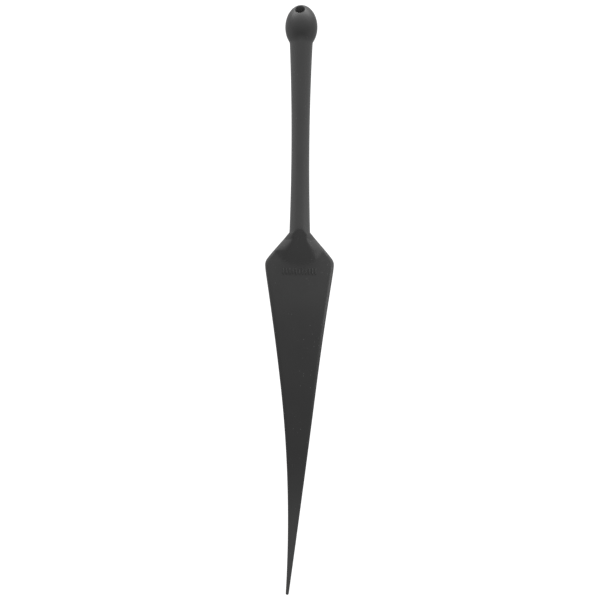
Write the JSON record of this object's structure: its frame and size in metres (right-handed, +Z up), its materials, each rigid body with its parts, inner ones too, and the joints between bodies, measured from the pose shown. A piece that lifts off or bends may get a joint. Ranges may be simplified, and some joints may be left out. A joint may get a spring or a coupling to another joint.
{
  "type": "spudger tool",
  "caption": "Flexible one-piece elastomer hand tool with a drilled egg-shaped pommel, a round waisted grip and a flat lance-shaped blade that tapers into a thin flexible tail.",
  "frame": {"origin": "centre of the tool's outline on the flat surface that it lies on with its flat back down", "axes": "+Y along the tool toward the pommel, +Z up out of the front face, +X to the right when the tool is seen from the front with the pommel up"},
  "size_m": [0.0532, 0.4567, 0.0204],
  "materials": {
    "dark_grey_silicone": "matte"
  },
  "bodies": {
    "pommel": {"pommel": "dark_grey_silicone"},
    "grip_upper": {"grip_upper": "dark_grey_silicone"},
    "grip_middle": {"grip_middle": "dark_grey_silicone"},
    "grip_lower": {"grip_lower": "dark_grey_silicone"},
    "shoulder": {"shoulder": "dark_grey_silicone"},
    "blade_1": {"blade_1": "dark_grey_silicone"},
    "blade_2": {"blade_2": "dark_grey_silicone"},
    "blade_3": {"blade_3": "dark_grey_silicone"},
    "blade_4": {"blade_4": "dark_grey_silicone"},
    "tail_1": {"tail_1": "dark_grey_silicone"},
    "tail_2": {"tail_2": "dark_grey_silicone"},
    "tail_3": {"tail_3": "dark_grey_silicone"},
    "tail_4": {"tail_4": "dark_grey_silicone"},
    "tail_tip": {"tail_tip": "dark_grey_silicone"}
  },
  "joints": [
    {"name": "pommel_flex", "type": "hinge", "parent": "grip_upper", "child": "pommel", "pos_m": [0, 0.19645, 0.00999], "axis": [1, 0, 0], "range_deg": [-10, 10], "stiffness_Nm_per_rad": 0.34},
    {"name": "grip_middle_flex", "type": "hinge", "parent": "grip_upper", "child": "grip_middle", "pos_m": [0, 0.14945, 0.00932], "axis": [1, 0, 0], "range_deg": [-15, 15], "stiffness_Nm_per_rad": 0.14},
    {"name": "grip_lower_sway", "type": "hinge", "parent": "grip_middle", "child": "grip_lower", "pos_m": [0, 0.10245, 0.00865], "axis": [0, 0, 1], "range_deg": [-15, 15], "stiffness_Nm_per_rad": 0.12},
    {"name": "shoulder_flex", "type": "hinge", "parent": "grip_lower", "child": "shoulder", "pos_m": [0, 0.05545, 0.00798], "axis": [1, 0, 0], "range_deg": [-15, 15], "stiffness_Nm_per_rad": 0.19},
    {"name": "blade_1_flex", "type": "hinge", "parent": "shoulder", "child": "blade_1", "pos_m": [0, 0.00741, 0.00246], "axis": [1, 0, 0], "range_deg": [-25, 25], "stiffness_Nm_per_rad": 0.032},
    {"name": "blade_2_flex", "type": "hinge", "parent": "blade_1", "child": "blade_2", "pos_m": [0, -0.02659, 0.00225], "axis": [1, 0, 0], "range_deg": [-25, 25], "stiffness_Nm_per_rad": 0.024},
    {"name": "blade_3_flex", "type": "hinge", "parent": "blade_2", "child": "blade_3", "pos_m": [0, -0.05834, 0.00205], "axis": [1, 0, 0], "range_deg": [-25, 25], "stiffness_Nm_per_rad": 0.016},
    {"name": "blade_4_flex", "type": "hinge", "parent": "blade_3", "child": "blade_4", "pos_m": [-0.00018, -0.08783, 0.00187], "axis": [0.9999, -0.0142, 0], "range_deg": [-25, 25], "stiffness_Nm_per_rad": 0.0098},
    {"name": "tail_1_flex", "type": "hinge", "parent": "blade_4", "child": "tail_1", "pos_m": [-0.00078, -0.11508, 0.0017], "axis": [0.9996, -0.0293, 0], "range_deg": [-25, 25], "stiffness_Nm_per_rad": 0.0061},
    {"name": "tail_2_sway", "type": "hinge", "parent": "tail_1", "child": "tail_2", "pos_m": [-0.00168, -0.14006, 0.00154], "axis": [0, 0, 1], "range_deg": [-12, 12], "stiffness_Nm_per_rad": 0.063},
    {"name": "tail_3_flex", "type": "hinge", "parent": "tail_2", "child": "tail_3", "pos_m": [-0.0028, -0.16278, 0.0014], "axis": [0.9985, -0.0556, 0], "range_deg": [-25, 25], "stiffness_Nm_per_rad": 0.0023},
    {"name": "tail_4_sway", "type": "hinge", "parent": "tail_3", "child": "tail_4", "pos_m": [-0.00406, -0.18324, 0.00128], "axis": [0, 0, 1], "range_deg": [-12, 12], "stiffness_Nm_per_rad": 0.0092},
    {"name": "tail_tip_flex", "type": "hinge", "parent": "tail_4", "child": "tail_tip", "pos_m": [-0.00537, -0.20145, 0.00117], "axis": [0.997, -0.077, 0], "range_deg": [-25, 25], "stiffness_Nm_per_rad": 0.00062}
  ]
}
